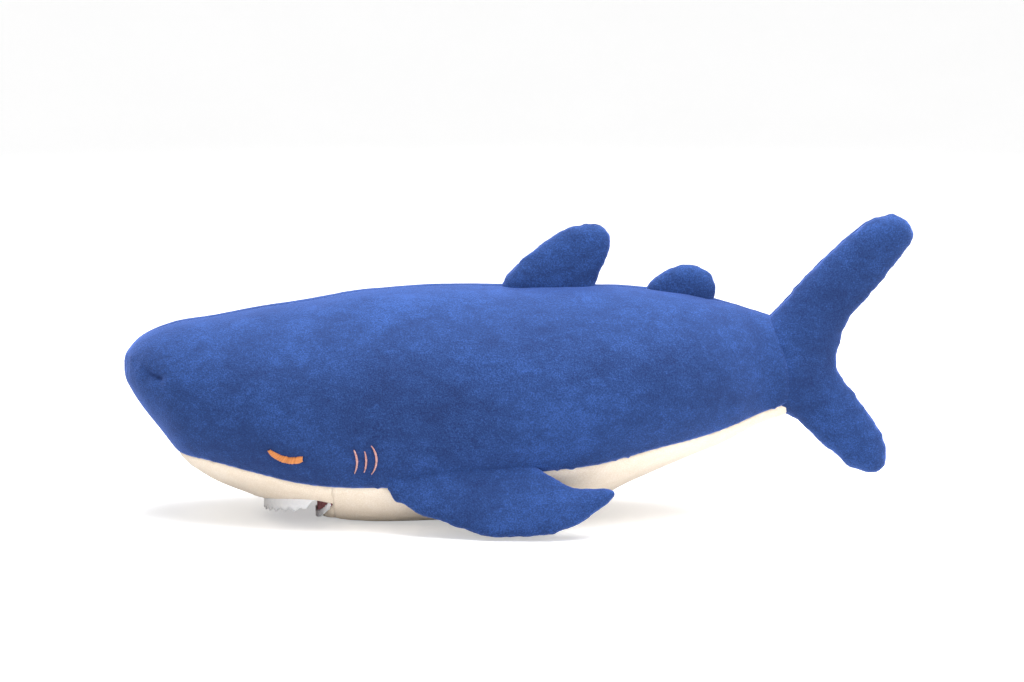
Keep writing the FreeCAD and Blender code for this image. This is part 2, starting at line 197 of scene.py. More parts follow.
def stuffed(piece, sewn, reach, pressure):
    """Blow the cover up as stuffing does. Sewn points are held, and none moves past reach."""
    before = np.array([v.co for v in piece.data.vertices])
    group = piece.vertex_groups.new(name="sewn")
    group.add(sewn, 1.0, "REPLACE")
    cloth = piece.modifiers.new("stuffing", "CLOTH")
    cloth.settings.quality = 5
    cloth.settings.mass = 0.15
    cloth.settings.tension_stiffness = cloth.settings.compression_stiffness = 8
    cloth.settings.shear_stiffness = 4
    cloth.settings.bending_stiffness = 0.4
    cloth.settings.use_pressure = True
    cloth.settings.uniform_pressure_force = pressure
    cloth.settings.vertex_group_mass = "sewn"
    cloth.settings.effector_weights.gravity = 0
    cloth.point_cache.frame_start, cloth.point_cache.frame_end = 1, 20
    for step in range(1, 21):
        scene.frame_set(step)
    filled = piece.evaluated_get(bpy.context.evaluated_depsgraph_get()).to_mesh()
    move = np.array([v.co for v in filled.vertices]) - before
    piece.evaluated_get(bpy.context.evaluated_depsgraph_get()).to_mesh_clear()
    piece.modifiers.clear()
    scene.frame_set(1)
    length = np.linalg.norm(move, axis=1, keepdims=True)
    move *= np.minimum(1, reach * MM / np.maximum(length, 1e-9))
    piece.data.vertices.foreach_set("co", (before + move).ravel())
    piece.data.update()
    return piece


def side_seam_height(x):
    return smooth_line(SIDE_SEAM, x / MM)[:, 0] * MM


def from_side_seam(x, y, z):
    return z - side_seam_height(x)


def from_spine(x, y, z):
    return y


def from_tail_seam(x, y, z):
    return smooth_line(TAIL_SEAM, z / MM)[:, 0] * MM - x


def from_mouth(x, y, z):
    """Below zero inside the mouth's crescent."""
    upper = np.hypot(x - UPPER_LIP[0] * MM, y) - UPPER_LIP[1] * MM
    lower = LOWER_LIP[1] * MM - np.hypot(x - LOWER_LIP[0] * MM, y)
    return np.maximum(upper, lower)


def from_mouth_corners(x, y, z):
    return x - UPPER_LIP[0] * MM


def centres(shape):
    return np.array([face.calc_center_median() for face in shape.faces]).T


def cut_along(shape, distance, region, offset=0.0, depth=FULL_SEAM):
    """Cut the cover where distance is offset, as scissors would along a chalk line."""
    height = shape.verts.layers.float.get("height") or shape.verts.layers.float.new("height")
    seam = shape.verts.layers.int.get("seam") or shape.verts.layers.int.new("seam")
    away = distance(*np.array([vert.co for vert in shape.verts]).T) - offset
    faces = [face for face, chosen in zip(shape.faces, region) if chosen]
    for vert, gap in zip(shape.verts, away):
        vert[height] = vert.co.z
        vert.co.z = gap
    part = set(faces)
    part.update(vert for face in faces for vert in face.verts)
    part.update(edge for face in faces for edge in face.edges)
    made = bmesh.ops.bisect_plane(
        shape, geom=list(part), dist=0.0003, plane_co=(0, 0, 0), plane_no=(0, 0, 1)
    )
    for vert in shape.verts:
        vert.co.z = vert[height]
    if not offset:
        for item in made["geom_cut"]:
            if isinstance(item, bmesh.types.BMVert):
                item[seam] = max(item[seam], depth)


def nearest_line(points):
    """A tree that answers how far a point is from a sewn line."""
    tree = KDTree(len(points))
    for i, point in enumerate(points):
        tree.insert(point, i)
    tree.balance()
    return tree


def held_by(piece, tree, reach):
    return [v.index for v in piece.data.vertices if tree.find(v.co)[2] < reach * MM]


def arc(x, z, radius, first, last, step=13):
    turns = np.radians(np.linspace(first, last, step))
    return [(x + radius * math.cos(t), z + radius * math.sin(t)) for t in turns]


def on_cover(tree, x, z, side, height=0.0):
    """The point on one side of the cover at x and z, raised off it by height."""
    spot, normal, _, _ = tree.ray_cast(Vector((x, side * 0.3, z)), Vector((0, -side, 0)))
    return spot + normal * height, normal


def under_cover(tree, x, y):
    return tree.ray_cast(Vector((x, y, -0.1)), Vector((0, 0, 1)))[0]


body = even_mesh(body_form("body_cover", COVER_INSET), COVER_MESH)
body_tree = BVHTree.FromObject(body, bpy.context.evaluated_depsgraph_get())
sewn_points = []
for x in np.arange(-250, 200, 2.0) * MM:
    height = side_seam_height(x)[0]
    sewn_points += [on_cover(body_tree, x, height, -1)[0], on_cover(body_tree, x, height, 1)[0]]
    sewn_points.append(body_tree.ray_cast(Vector((x, 0, 0.4)), Vector((0, 0, -1)))[0])
for (centre, radius), half in ((UPPER_LIP, 90), (LOWER_LIP, 30)):
    for turn in np.radians(np.arange(-half, half + 1, 2.0)):
        x, y = centre - radius * math.cos(turn), radius * math.sin(turn)
        sewn_points.append(under_cover(body_tree, x * MM, y * MM))
stuffed(body, held_by(body, nearest_line(sewn_points), 3.2), COVER_SWELL, pressure=6.0)
finer(body)

cover = bmesh.new()
cover.from_mesh(body.data)
bpy.data.objects.remove(body)
for vert in cover.verts:
    lump = noise.noise(vert.co * 16) * 1.3 + noise.noise(vert.co * 42 + Vector((7, 3, 1))) * 0.45
    vert.co += vert.normal * lump * MM
    vert.co.z = max(vert.co.z, 0.0002)

x, y, z = centres(cover)
cut_along(cover, from_mouth, (z < 0.04) & (x > -0.21) & (x < -0.13))
for aside in (0, *(side * width for width in SEAM_ALLOWANCE for side in (-1, 1))):
    x, y, z = centres(cover)
    cut_along(cover, from_side_seam, (x > -0.268) & (z < 0.1), aside * MM)
    x, y, z = centres(cover)
    cut_along(cover, from_spine, (z > 0.1) | (x < -0.26), aside * MM)
x, y, z = centres(cover)
cut_along(cover, from_mouth_corners, (from_side_seam(x, y, z) < 0) & (from_mouth(x, y, z) > 0),
          depth=FAINT_SEAM)
x, y, z = centres(cover)
cut_along(cover, from_tail_seam, x > 0.17)
x, y, z = centres(cover)
spare = (from_tail_seam(x, y, z) < 0) | ((from_mouth(x, y, z) < 0) & (z < 0.045))
bmesh.ops.delete(
    cover, geom=[face for face, gone in zip(cover.faces, spare) if gone], context="FACES"
)

BACK_LEFT, BACK_RIGHT, SNOUT, BELLY = range(4)
panel = cover.faces.layers.int.new("panel")
x, y, z = centres(cover)
below = (from_side_seam(x, y, z) < 0) & (x > -0.268)
ahead = x < UPPER_LIP[0] * MM
for face, low, front, right in zip(cover.faces, below, ahead, y > 0):
    face[panel] = (SNOUT if front else BELLY) if low else (BACK_RIGHT if right else BACK_LEFT)

# Every seam pulls the fabric in, with small gathers beside it. So does the embroidery.
seam = cover.verts.layers.int["seam"]
sewn_points, depths = [], []
for edge in cover.edges:
    if all(vert[seam] for vert in edge.verts):
        first, second = (vert.co for vert in edge.verts)
        sewn_points += [first.lerp(second, step / 4) for step in range(5)]
        depths += [min(vert[seam] for vert in edge.verts) / FULL_SEAM] * 5
for side in (-1, 1):
    for x in np.arange(-298, -269, 0.5):
        y, z = smooth_line(NOSE_DART, x)[0]
        sewn_points.append(Vector((x, side * y, z)) * MM)
        depths.append(DART_DEPTH)
seam_tree = nearest_line(sewn_points)
thread_lines = [Vector((x, 0, z)) * MM for line in [EYE_LINE] + GILL_LINES
                for x, z in arc(*line, 41)]
thread_tree = nearest_line(thread_lines)
shade = cover.verts.layers.float.new("seam_painted_shade")
for vert in cover.verts:
    gap = seam_tree.find(vert.co)[2] / MM
    if abs(vert.co.y) > 0.04 and vert.co.x < -0.09:
        thread_gap = thread_tree.find(Vector((vert.co.x, 0, vert.co.z)))[2] / MM
        # Painted shade: a dark halo round the eye and gills, where the plush sinks about the stitching.
        vert[shade] = 0.9 * math.exp(-(thread_gap / 3.5) ** 2)
        vert.co -= vert.normal * 0.5 * math.exp(-(thread_gap / 4) ** 2) * MM
    if gap > 25:
        continue
    depth = depths[seam_tree.find(vert.co)[1]]
    gather = noise.noise(vert.co * 120) * 0.55 + noise.noise(vert.co * 260) * 0.35
    sink = SEAM_DIP * math.exp(-(gap / 1.8) ** 2) + SEAM_HOLLOW * math.exp(-(gap / 6) ** 2)
    pull = gather * math.exp(-(gap / 9) ** 2) * min(1, gap / 1.5)
    # Painted shade: the colour darkens along each seam's groove, as deep as the seam is drawn in.
    vert[shade] = max(vert[shade], depth * math.exp(-(gap / 1.6) ** 2))
    vert.co += vert.normal * (pull - sink) * depth * MM
    vert.co.z = max(vert.co.z, 0.0002)
cover.normal_update()
cover_tree = BVHTree.FromBMesh(cover)


# ---------------------------------------------------------------------------------------------
# Plush: short-pile knit, brushed this way and that, so it shows lighter and darker patches. The
# same pile is dyed navy for the back and fins and left pale for the belly.
# ---------------------------------------------------------------------------------------------

SEAM_DARKNESS = 0.45               # how much of the shadow shade shows in a seam


def dye(code):
    """A dye given as RRGGBB, as the linear colour that a shader takes."""
    parts = [int(code[i:i + 2], 16) / 255 for i in (0, 2, 4)]
    return [p / 12.92 if p <= 0.04045 else ((p + 0.055) / 1.055) ** 2.4 for p in parts] + [1]


def joined(tree, *links):
    for outlet, inlet in links:
        tree.links.new(outlet, inlet)


def noise_node(tree, place, scale, detail, distortion=0.0):
    node = tree.nodes.new("ShaderNodeTexNoise")
    node.inputs["Scale"].default_value = scale
    node.inputs["Detail"].default_value = detail
    node.inputs["Distortion"].default_value = distortion
    tree.links.new(place, node.inputs["Vector"])
    return node.outputs["Fac"]


def sum_node(tree, first, share, second, rest):
    """first x share + second x rest"""
    scaled = tree.nodes.new("ShaderNodeMath")
    scaled.operation = "MULTIPLY"
    scaled.inputs[1].default_value = rest
    total = tree.nodes.new("ShaderNodeMath")
    total.operation = "MULTIPLY_ADD"
    total.inputs[1].default_value = share
    joined(tree, (second, scaled.inputs[0]), (first, total.inputs[0]),
           (scaled.outputs[0], total.inputs[2]))
    return total.outputs[0]


def range_node(tree, value, low, high):
    node = tree.nodes.new("ShaderNodeMapRange")
    node.inputs["From Min"].default_value = low
    node.inputs["From Max"].default_value = high
    tree.links.new(value, node.inputs["Value"])
    return node.outputs["Result"]


def tint_node(tree, mask, plain, tinted):
    """plain where the mask is 0, tinted where it is 1"""
    node = tree.nodes.new("ShaderNodeMix")
    node.data_type = "RGBA"
    tree.links.new(mask, node.inputs["Factor"])
    for colour, socket in ((plain, node.inputs["A"]), (tinted, node.inputs["B"])):
        if isinstance(colour, bpy.types.NodeSocket):
            tree.links.new(colour, socket)
        else:
            socket.default_value = colour
    return node.outputs["Result"]


def pattern_group(name, *dyed):
    """A fabric's pattern: dyed shades go in, and a colour and a height come out."""
    group = bpy.data.node_groups.new(name, "ShaderNodeTree")
    for shade in dyed:
        group.interface.new_socket(shade, in_out="INPUT", socket_type="NodeSocketColor")
    group.interface.new_socket("Color", in_out="OUTPUT", socket_type="NodeSocketColor")
    group.interface.new_socket("Height", in_out="OUTPUT", socket_type="NodeSocketFloat")
    place = group.nodes.new("ShaderNodeTexCoord").outputs["Object"]
    return (group, group.nodes.new("NodeGroupInput").outputs,
            group.nodes.new("NodeGroupOutput").inputs, place)


def short_pile_group():
    """Colour and height of brushed pile, from three dyed shades, plus painted shade at seams."""
    group, shades, result, place = pattern_group("short_pile", "Shadow", "Middle", "Light")
    nap = group.nodes.new("ShaderNodeMapping")
    nap.inputs["Scale"].default_value = (0.6, 1, 1)
    group.links.new(place, nap.inputs["Vector"])
    brushed = noise_node(group, nap.outputs["Vector"], 11, 3, 0.6)
    mottled = noise_node(group, nap.outputs["Vector"], 120, 6, 0.6)
    tips = noise_node(group, place, 1000, 3)
    patches = sum_node(group, brushed, 0.62, mottled, 0.38)
    tone = sum_node(group, patches, 0.52, tips, 0.48)
    dark_half = range_node(group, tone, 0.38, 0.5)
    light_half = range_node(group, tone, 0.5, 0.63)
    darker = tint_node(group, dark_half, shades["Shadow"], shades["Middle"])
    colour = tint_node(group, light_half, darker, shades["Light"])
    # Painted shade: along seams and round the embroidery the colour is drawn towards the Shadow shade.
    sewn = group.nodes.new("ShaderNodeAttribute")
    sewn.attribute_name = "seam_painted_shade"
    into_seam = group.nodes.new("ShaderNodeMath")
    into_seam.operation = "MULTIPLY"
    into_seam.inputs[1].default_value = SEAM_DARKNESS
    group.links.new(sewn.outputs["Fac"], into_seam.inputs[0])
    shaded = tint_node(group, into_seam.outputs[0], colour, shades["Shadow"])
    joined(group, (shaded, result["Color"]),
           (sum_node(group, tips, 0.6, mottled, 0.4), result["Height"]))
    return group


short_pile = short_pile_group()


def fabric(name, group, shades, roughness, sheen, sheen_tint, bump, depth):
    """A fabric material: its pattern group feeds the colour and the bump."""
    material = bpy.data.materials.new(name)
    material.use_nodes = True
    tree = material.node_tree
    surface = tree.nodes["Principled BSDF"]
    pattern = tree.nodes.new("ShaderNodeGroup")
    pattern.node_tree = group
    for socket, code in shades.items():
        pattern.inputs[socket].default_value = dye(code)
    relief = tree.nodes.new("ShaderNodeBump")
    relief.inputs["Strength"].default_value = bump
    relief.inputs["Distance"].default_value = depth * MM
    surface.inputs["Roughness"].default_value = roughness
    surface.inputs["Specular IOR Level"].default_value = 0.25
    surface.inputs["Sheen Weight"].default_value = sheen
    surface.inputs["Sheen Roughness"].default_value = 0.4
    surface.inputs["Sheen Tint"].default_value = dye(sheen_tint)
    joined(tree, (pattern.outputs["Color"], surface.inputs["Base Color"]),
           (pattern.outputs["Height"], relief.inputs["Height"]),
           (relief.outputs["Normal"], surface.inputs["Normal"]))
    return material


navy_plush = fabric(
    "navy_plush", short_pile, {"Shadow": "162a58", "Middle": "1f3a6e", "Light": "305296"},
    roughness=0.9, sheen=1.0, sheen_tint="82a2ff", bump=0.65, depth=0.8,
)
cream_plush = fabric(
    "cream_plush", short_pile, {"Shadow": "e8d7c1", "Middle": "f1e2cf", "Light": "f8eddf"},
    roughness=0.9, sheen=0.2, sheen_tint="ffffff", bump=0.2, depth=0.5,
)


# ---------------------------------------------------------------------------------------------
# Body panels: two navy back halves, a pale belly whose front end is the lower jaw, and a pale
# panel under the snout. Each is cut from the cover along its seams and is one fabric thick.
# ---------------------------------------------------------------------------------------------

def cut_panel(name, number, material, node):
    cloth = cover.copy()
    marked = cloth.faces.layers.int["panel"]
    bmesh.ops.delete(cloth, geom=[f for f in cloth.faces if f[marked] != number], context="FACES")
    cloth.verts.layers.float.remove(cloth.verts.layers.float["height"])
    cloth.verts.layers.int.remove(cloth.verts.layers.int["seam"])
    piece = piece_from(name, cloth)
    wall = piece.modifiers.new("fabric", "SOLIDIFY")
    wall.thickness = FABRIC * MM
    wall.offset = -1
    piece.data.materials.append(material)
    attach(piece, "torso")
    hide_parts(node)
    return piece


cut_panel("back_left", BACK_LEFT, navy_plush, "back_panel_left")
cut_panel("back_right", BACK_RIGHT, navy_plush, "back_panel_right")
cut_panel("snout_underside", SNOUT, cream_plush, "snout_underside_panel")
cut_panel("belly", BELLY, cream_plush, "belly_panel")


# ---------------------------------------------------------------------------------------------
# Mouth: a crescent pocket of dark red lining between the lips, with a strip of white felt cut
# into teeth sewn inside each lip.
# ---------------------------------------------------------------------------------------------

POCKET_ROOF = 32                   # height of the pocket's roof
LIP_CLEARANCE = 0.4
FELT = 1.2
LINING = 0.9
CORNER_TURN = 29                   # degrees of the lower lip's curve up to a mouth corner


def woven_group():
    """Plain cloth: crossed threads and a slight unevenness, from two shades."""
    group, shades, result, place = pattern_group("plain_cloth", "Shadow", "Light")
    uneven = noise_node(group, place, 260, 4)
    fibre = noise_node(group, place, 1800, 3, 1.5)
    tone = sum_node(group, uneven, 0.55, fibre, 0.45)
    mask = range_node(group, tone, 0.35, 0.65)
    joined(group, (tint_node(group, mask, shades["Shadow"], shades["Light"]), result["Color"]),
           (fibre, result["Height"]))
    return group


plain_cloth = woven_group()
white_felt = fabric("white_felt", plain_cloth, {"Shadow": "f0f1f5", "Light": "ffffff"},
                    roughness=0.95, sheen=0.6, sheen_tint="ffffff", bump=0.2, depth=0.3)
dark_red_lining = fabric("dark_red_lining", plain_cloth, {"Shadow": "8a484c", "Light": "b47478"},
                         roughness=0.8, sheen=0.3, sheen_tint="e0b0b0", bump=0.35, depth=0.3)


def crescent_point(along, across, clear):
    """From one mouth corner to the other (along), from the upper to the lower lip (across)."""
    upper = math.radians(90) * along
    lower = math.radians(CORNER_TURN) * along
    front = Vector((UPPER_LIP[0] - (UPPER_LIP[1] - clear) * math.cos(upper),
                    (UPPER_LIP[1] - clear) * math.sin(upper), 0))
    rear = Vector((LOWER_LIP[0] - (LOWER_LIP[1] + clear) * math.cos(lower),
                   (LOWER_LIP[1] + clear) * math.sin(lower), 0))
    return front.lerp(rear, across) * MM


lip_points = [vert.co.copy() for vert in cover.verts if vert.is_boundary and vert.co.x < -0.1]
lip_tree = nearest_line([Vector((p.x, p.y, 0)) for p in lip_points])


def lip_height(x, y):
    return lip_points[lip_tree.find(Vector((x, y, 0)))[1]].z + LIP_CLEARANCE * MM


def mouth_pocket():
    """The roof is a crescent of cloth; its walls drop from the roof's rim to the lips."""
    pocket = bmesh.new()
    bmesh.ops.create_grid(pocket, x_segments=48, y_segments=6, size=1)
    for vert in pocket.verts:
        spot = crescent_point(vert.co.x * 0.985, (vert.co.y + 1) / 2, 0.7)
        crease = noise.noise(spot * 90) * 1.5
        vert.co = Vector((spot.x, spot.y, (POCKET_ROOF + crease) * MM))
    bmesh.ops.remove_doubles(pocket, verts=pocket.verts, dist=0.0002)
    rim = [edge for edge in pocket.edges if edge.is_boundary]
    for step in range(1, 5):
        made = bmesh.ops.extrude_edge_only(pocket, edges=rim)
        rim = [item for item in made["geom"] if isinstance(item, bmesh.types.BMEdge)]
        for vert in (item for item in made["geom"] if isinstance(item, bmesh.types.BMVert)):
            lip = lip_height(vert.co.x, vert.co.y)
            crease = noise.noise(vert.co * 140) * 0.6 * MM * (step < 4)
            vert.co.z = POCKET_ROOF * MM + (lip - POCKET_ROOF * MM) * step / 4 + crease
    bmesh.ops.recalc_face_normals(pocket, faces=pocket.faces)
    if sum(face.normal.z for face in pocket.faces if abs(face.normal.z) > 0.9) > 0:
        bmesh.ops.reverse_faces(pocket, faces=pocket.faces)
    return piece_from("mouth_lining_cloth", pocket)


lining = mouth_pocket()
wall = lining.modifiers.new("cloth", "SOLIDIFY")
wall.thickness = LINING * MM
wall.offset = -1
lining.data.materials.append(dark_red_lining)
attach(lining, "torso")
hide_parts("mouth_lining")


def tooth_strip(name, lip, clear, half_turn, teeth, sewn, notch, tip, slant):
    """A felt strip bent round the lip, its free edge cut to a zigzag and its ends cut slanting.
    sewn, notch and tip are heights above the lip."""
    centre, radius = lip
    strip = bmesh.new()
    bmesh.ops.create_grid(strip, x_segments=4 * teeth, y_segments=5, size=1)
    for vert in strip.verts:
        column = round((vert.co.x + 1) / 2 * 4 * teeth)
        free = notch + (tip - notch) * (1 - abs(column % 4 - 2) / 2)
        free += (sewn - free) * max(0, (abs(vert.co.x) - 1) / slant + 1) ** 1.3
        drop = (vert.co.y + 1) / 2
        turn = math.radians(vert.co.x * half_turn)
        wave = noise.noise(Vector((vert.co.x * 9, clear, 0))) * 0.7 * (1 - drop)
        reach = radius + clear + wave
        x, y = centre - reach * math.cos(turn), reach * math.sin(turn)
        height = lip_height(x * MM, y * MM) + (free + (sewn - free) * drop) * MM
        vert.co = Vector((x * MM, y * MM, max(height, (0.8 - 0.2 * drop) * MM)))
    bmesh.ops.smooth_vert(strip, verts=[v for v in strip.verts if not v.is_boundary], factor=0.5,
                          use_axis_x=True, use_axis_y=True, use_axis_z=True)
    bmesh.ops.recalc_face_normals(strip, faces=strip.faces)
    piece = piece_from(name, strip)
    felt = piece.modifiers.new("felt", "SOLIDIFY")
    felt.thickness = FELT * MM
    felt.offset = 0
    piece.data.materials.append(white_felt)
    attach(piece, "torso")
    return piece


upper_teeth = tooth_strip("upper_tooth_strip", UPPER_LIP, clear=-2.3, half_turn=84, teeth=16,
                          sewn=8, notch=-7.2, tip=-10.5, slant=0.24)
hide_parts("upper_teeth")
lower_teeth = tooth_strip("lower_tooth_strip", LOWER_LIP, clear=1.4, half_turn=28.2, teeth=20,
                          sewn=-2.6, notch=1.6, tip=2.4, slant=0.04)
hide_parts("lower_teeth")


# ---------------------------------------------------------------------------------------------
# Embroidery: a closed eye and three gills on each side, in satin stitch. The threads lie side
# by side across the line and are sewn through the plush before the body is closed.
# ---------------------------------------------------------------------------------------------

EYE_WIDTH = [(0, 2.2), (0.12, 4.2), (0.35, 5.4), (0.8, 5.7), (0.95, 4.9), (1, 3.4)]
GILL_WIDTH = [(0, 0.7), (0.3, 1.6), (0.8, 1.6), (1, 0.7)]
EYE_LIFT, GILL_LIFT = 1.8, 1.2     # how proud of the plush the threads stand
EYE_SLANT, GILL_SLANT = 0.35, 0.6  # how far a thread leans along its line
THREAD_PITCH = 0.7
THREAD_BODY = 0.5


def thread_group():
    """Shiny thread: each a little lighter or darker than its neighbour; painted shade in gaps."""
    group, shades, result, place = pattern_group("laid_thread", "Shadow", "Light")
    lay = group.nodes.new("ShaderNodeAttribute")
    lay.attribute_name = "thread_tone_and_shade"
    twist = noise_node(group, place, 1500, 2)
    tone = sum_node(group, lay.outputs["Fac"], 0.7, twist, 0.3)
    joined(group, (tint_node(group, tone, shades["Shadow"], shades["Light"]), result["Color"]),
           (twist, result["Height"]))
    return group


laid_thread = thread_group()
orange_thread = fabric("orange_thread", laid_thread, {"Shadow": "a85a28", "Light": "ee9f5e"},
                       roughness=0.42, sheen=0.2, sheen_tint="ffd9a8", bump=0.25, depth=0.2)
pink_thread = fabric("pink_thread", laid_thread, {"Shadow": "a45c56", "Light": "eabfb6"},
                     roughness=0.42, sheen=0.2, sheen_tint="ffe0dd", bump=0.25, depth=0.2)
sewing_thread = fabric("sewing_thread", laid_thread, {"Shadow": "2a3f78", "Light": "4b66a8"},
                       roughness=0.5, sheen=0.1, sheen_tint="ffffff", bump=0.2, depth=0.2)


def satin_band(shape, places, widths, side, lift, slant):
    """Add a band of threads that crosses the line through places, in millimetres."""
    places = np.array(places, float)
    run = np.insert(np.cumsum(np.linalg.norm(np.diff(places, axis=0), axis=1)), 0, 0)
    threads = round(run[-1] / THREAD_PITCH)
    line = np.column_stack([run / run[-1], places])
    lay = shape.verts.layers.float.get("thread_tone_and_shade") or shape.verts.layers.float.new("thread_tone_and_shade")
    made = bmesh.ops.create_grid(shape, x_segments=4 * threads, y_segments=8, size=1)
    for vert in made["verts"]:
        share = (vert.co.x + 1) / 2
        thread, phase = divmod(round(share * 4 * threads), 4)
        across = vert.co.y
        here, ahead = smooth_line(line, [share, min(share + 0.01, 1)])
        behind = smooth_line(line, max(share - 0.01, 0))[0]
        tangent = (ahead - behind) / np.linalg.norm(ahead - behind)
        uneven = noise.noise(Vector((thread * 3.7, places[0][0], side)))
        half = smooth_line(widths, share)[0, 0] / 2 * (1 + 0.22 * uneven)
        spot = here + half * across * (np.array((-tangent[1], tangent[0])) + slant * tangent)
        dip = (0.22, 0.03, 0, 0.03)[phase]
        height = lift * math.sqrt(max(0, 1 - across ** 2)) - dip - 0.45 * (abs(across) > 0.97)
        # Painted shade: the gap before each thread and the band's edges, where threads dip in, are darker.
        edge_painted_shade = 0.35 * max(0, abs(across) - 0.6) / 0.4
        vert[lay] = 0.6 + 0.6 * uneven - (0.25 if phase == 0 else 0) - edge_painted_shade
        vert.co = on_cover(cover_tree, spot[0] * MM, spot[1] * MM, side, height * MM)[0]


def embroidered(name, bands, side, lift, slant, material, node):
    shape = bmesh.new()
    for places, widths in bands:
        satin_band(shape, places, widths, side, lift, slant)
    bmesh.ops.recalc_face_normals(shape, faces=shape.faces)
    if sum(face.normal.y for face in shape.faces) * side < 0:
        bmesh.ops.reverse_faces(shape, faces=shape.faces)
    piece = piece_from(name, shape)
    body_of_thread = piece.modifiers.new("thread", "SOLIDIFY")
    body_of_thread.thickness = THREAD_BODY * MM
    body_of_thread.offset = -1
    piece.data.materials.append(material)
    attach(piece, "torso")
    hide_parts(node)
    return piece


for side, word in ((-1, "left"), (1, "right")):
    embroidered("eye_stitching_" + word, [(arc(*EYE_LINE), EYE_WIDTH)], side, EYE_LIFT,
                EYE_SLANT, orange_thread, "eye_embroidery_" + word)
    embroidered("gill_stitching_" + word, [(arc(*line), GILL_WIDTH) for line in GILL_LINES],
                side, GILL_LIFT, GILL_SLANT, pink_thread,
                "gill_embroidery_" + word)


# ---------------------------------------------------------------------------------------------
# Closing stitches and care label, both on the right flank: a ladder stitch shuts the hole that
# the filling went in by, and a blank tape folded double is caught in the seam behind it.
# ---------------------------------------------------------------------------------------------

STITCH_FIRST, STITCH_PITCH, STITCH_COUNT, STITCH_LENGTH = 60, 7, 6, 7
STITCH_RADIUS, STITCH_DRIFT = 0.55, 1.2
LABEL_SIZE = (22, 21)              # width and folded length
LABEL_TAPE = 0.45

ladder = bmesh.new()
lay = ladder.verts.layers.float.new("thread_tone_and_shade")
for i in range(STITCH_COUNT):
    x = STITCH_FIRST + i * STITCH_PITCH
    z = side_seam_height(x * MM)[0] / MM
    made = bmesh.ops.create_cone(ladder, cap_ends=True, segments=8, radius1=STITCH_RADIUS,
                                 radius2=STITCH_RADIUS, depth=1)
    bmesh.ops.subdivide_edges(
        ladder, cuts=5,
        edges=[e for e in {e for v in made["verts"] for e in v.link_edges}
               if abs(e.verts[0].co.z - e.verts[1].co.z) > 0.5],
    )
    bar = [v for v in ladder.verts if v.is_valid and not v.tag]
    for vert in bar:
        vert.tag = True
        reach = vert.co.z * 2
        drift = STITCH_DRIFT * reach * (-1) ** i
        up = reach * STITCH_LENGTH / 2
        spot, normal = on_cover(cover_tree, (x + drift) * MM, (z + up) * MM, 1)
        bulge = 0.5 + 0.9 * math.sqrt(max(0, 1 - reach ** 2)) - 1.2 * (abs(reach) > 0.9)
        vert[lay] = 0.5 + 0.3 * noise.noise(vert.co * 5)
        vert.co = spot + normal * (bulge + vert.co.y) * MM + Vector((vert.co.x, 0, 0)) * MM
bmesh.ops.recalc_face_normals(ladder, faces=ladder.faces)
closing = piece_from("ladder_stitches", ladder)
closing.data.materials.append(sewing_thread)
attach(closing, "torso")
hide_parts("closing_stitches")

label_low, label_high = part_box("care_label")
tape = bmesh.new()
bmesh.ops.create_grid(tape, x_segments=8, y_segments=24, size=1)
label_top = label_high.z - 0.002
for vert in tape.verts:
    fold = vert.co.y
    down = (1 - abs(fold)) * LABEL_SIZE[1]
    away = 0.9 * np.sign(fold) * (0.35 + 0.65 * math.sin(math.pi * (1 - abs(fold))))
    curl = 1.6 * (down / LABEL_SIZE[1]) ** 2 + 0.5 * math.sin(vert.co.x * 2.2)
    vert.co = Vector((
        (label_low.x + label_high.x) / 2 + vert.co.x * LABEL_SIZE[0] / 2 * MM,
        label_high.y + (curl + away) * MM,
        label_top - down * MM,
    ))
label_tape = fabric("label_tape", plain_cloth, {"Shadow": "e9e9ea", "Light": "f8f8f8"},
                    roughness=0.45, sheen=0.1, sheen_tint="ffffff", bump=0.15, depth=0.15)
bmesh.ops.recalc_face_normals(tape, faces=tape.faces)
label = piece_from("blank_care_label", tape)
woven = label.modifiers.new("tape", "SOLIDIFY")
woven.thickness = LABEL_TAPE * MM
woven.offset = 0
label.data.materials.append(label_tape)
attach(label, "torso")
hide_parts("care_label")


# ---------------------------------------------------------------------------------------------
# Fins and tail: each is two pieces of navy plush sewn together round their outline, turned,
# stuffed and sewn to the body by the open end, which is tucked in. They bend at that seam.
# ---------------------------------------------------------------------------------------------

filling_cloud = fabric("polyester_filling", plain_cloth, {"Shadow": "e8e8e8", "Light": "ffffff"},
                       roughness=1.0, sheen=0.3, sheen_tint="ffffff", bump=0.8, depth=1.5)


FIN_FABRIC = 1.1                   # the fins' plush is thinner than the body's
FILLING_INSET = 2.0                # how far inside the fin's outside its filling starts


def closed_line(points, step):
    """A smooth closed line through the points, read every step."""
    points = np.array(points, float)
    looped = np.vstack([points[-2:], points, points[:3]])
    run = np.insert(np.cumsum(np.linalg.norm(np.diff(looped, axis=0), axis=1)), 0, 0)
    at = np.arange(run[2], run[-3], step)
    return smooth_line(np.column_stack([run, looped]), at)


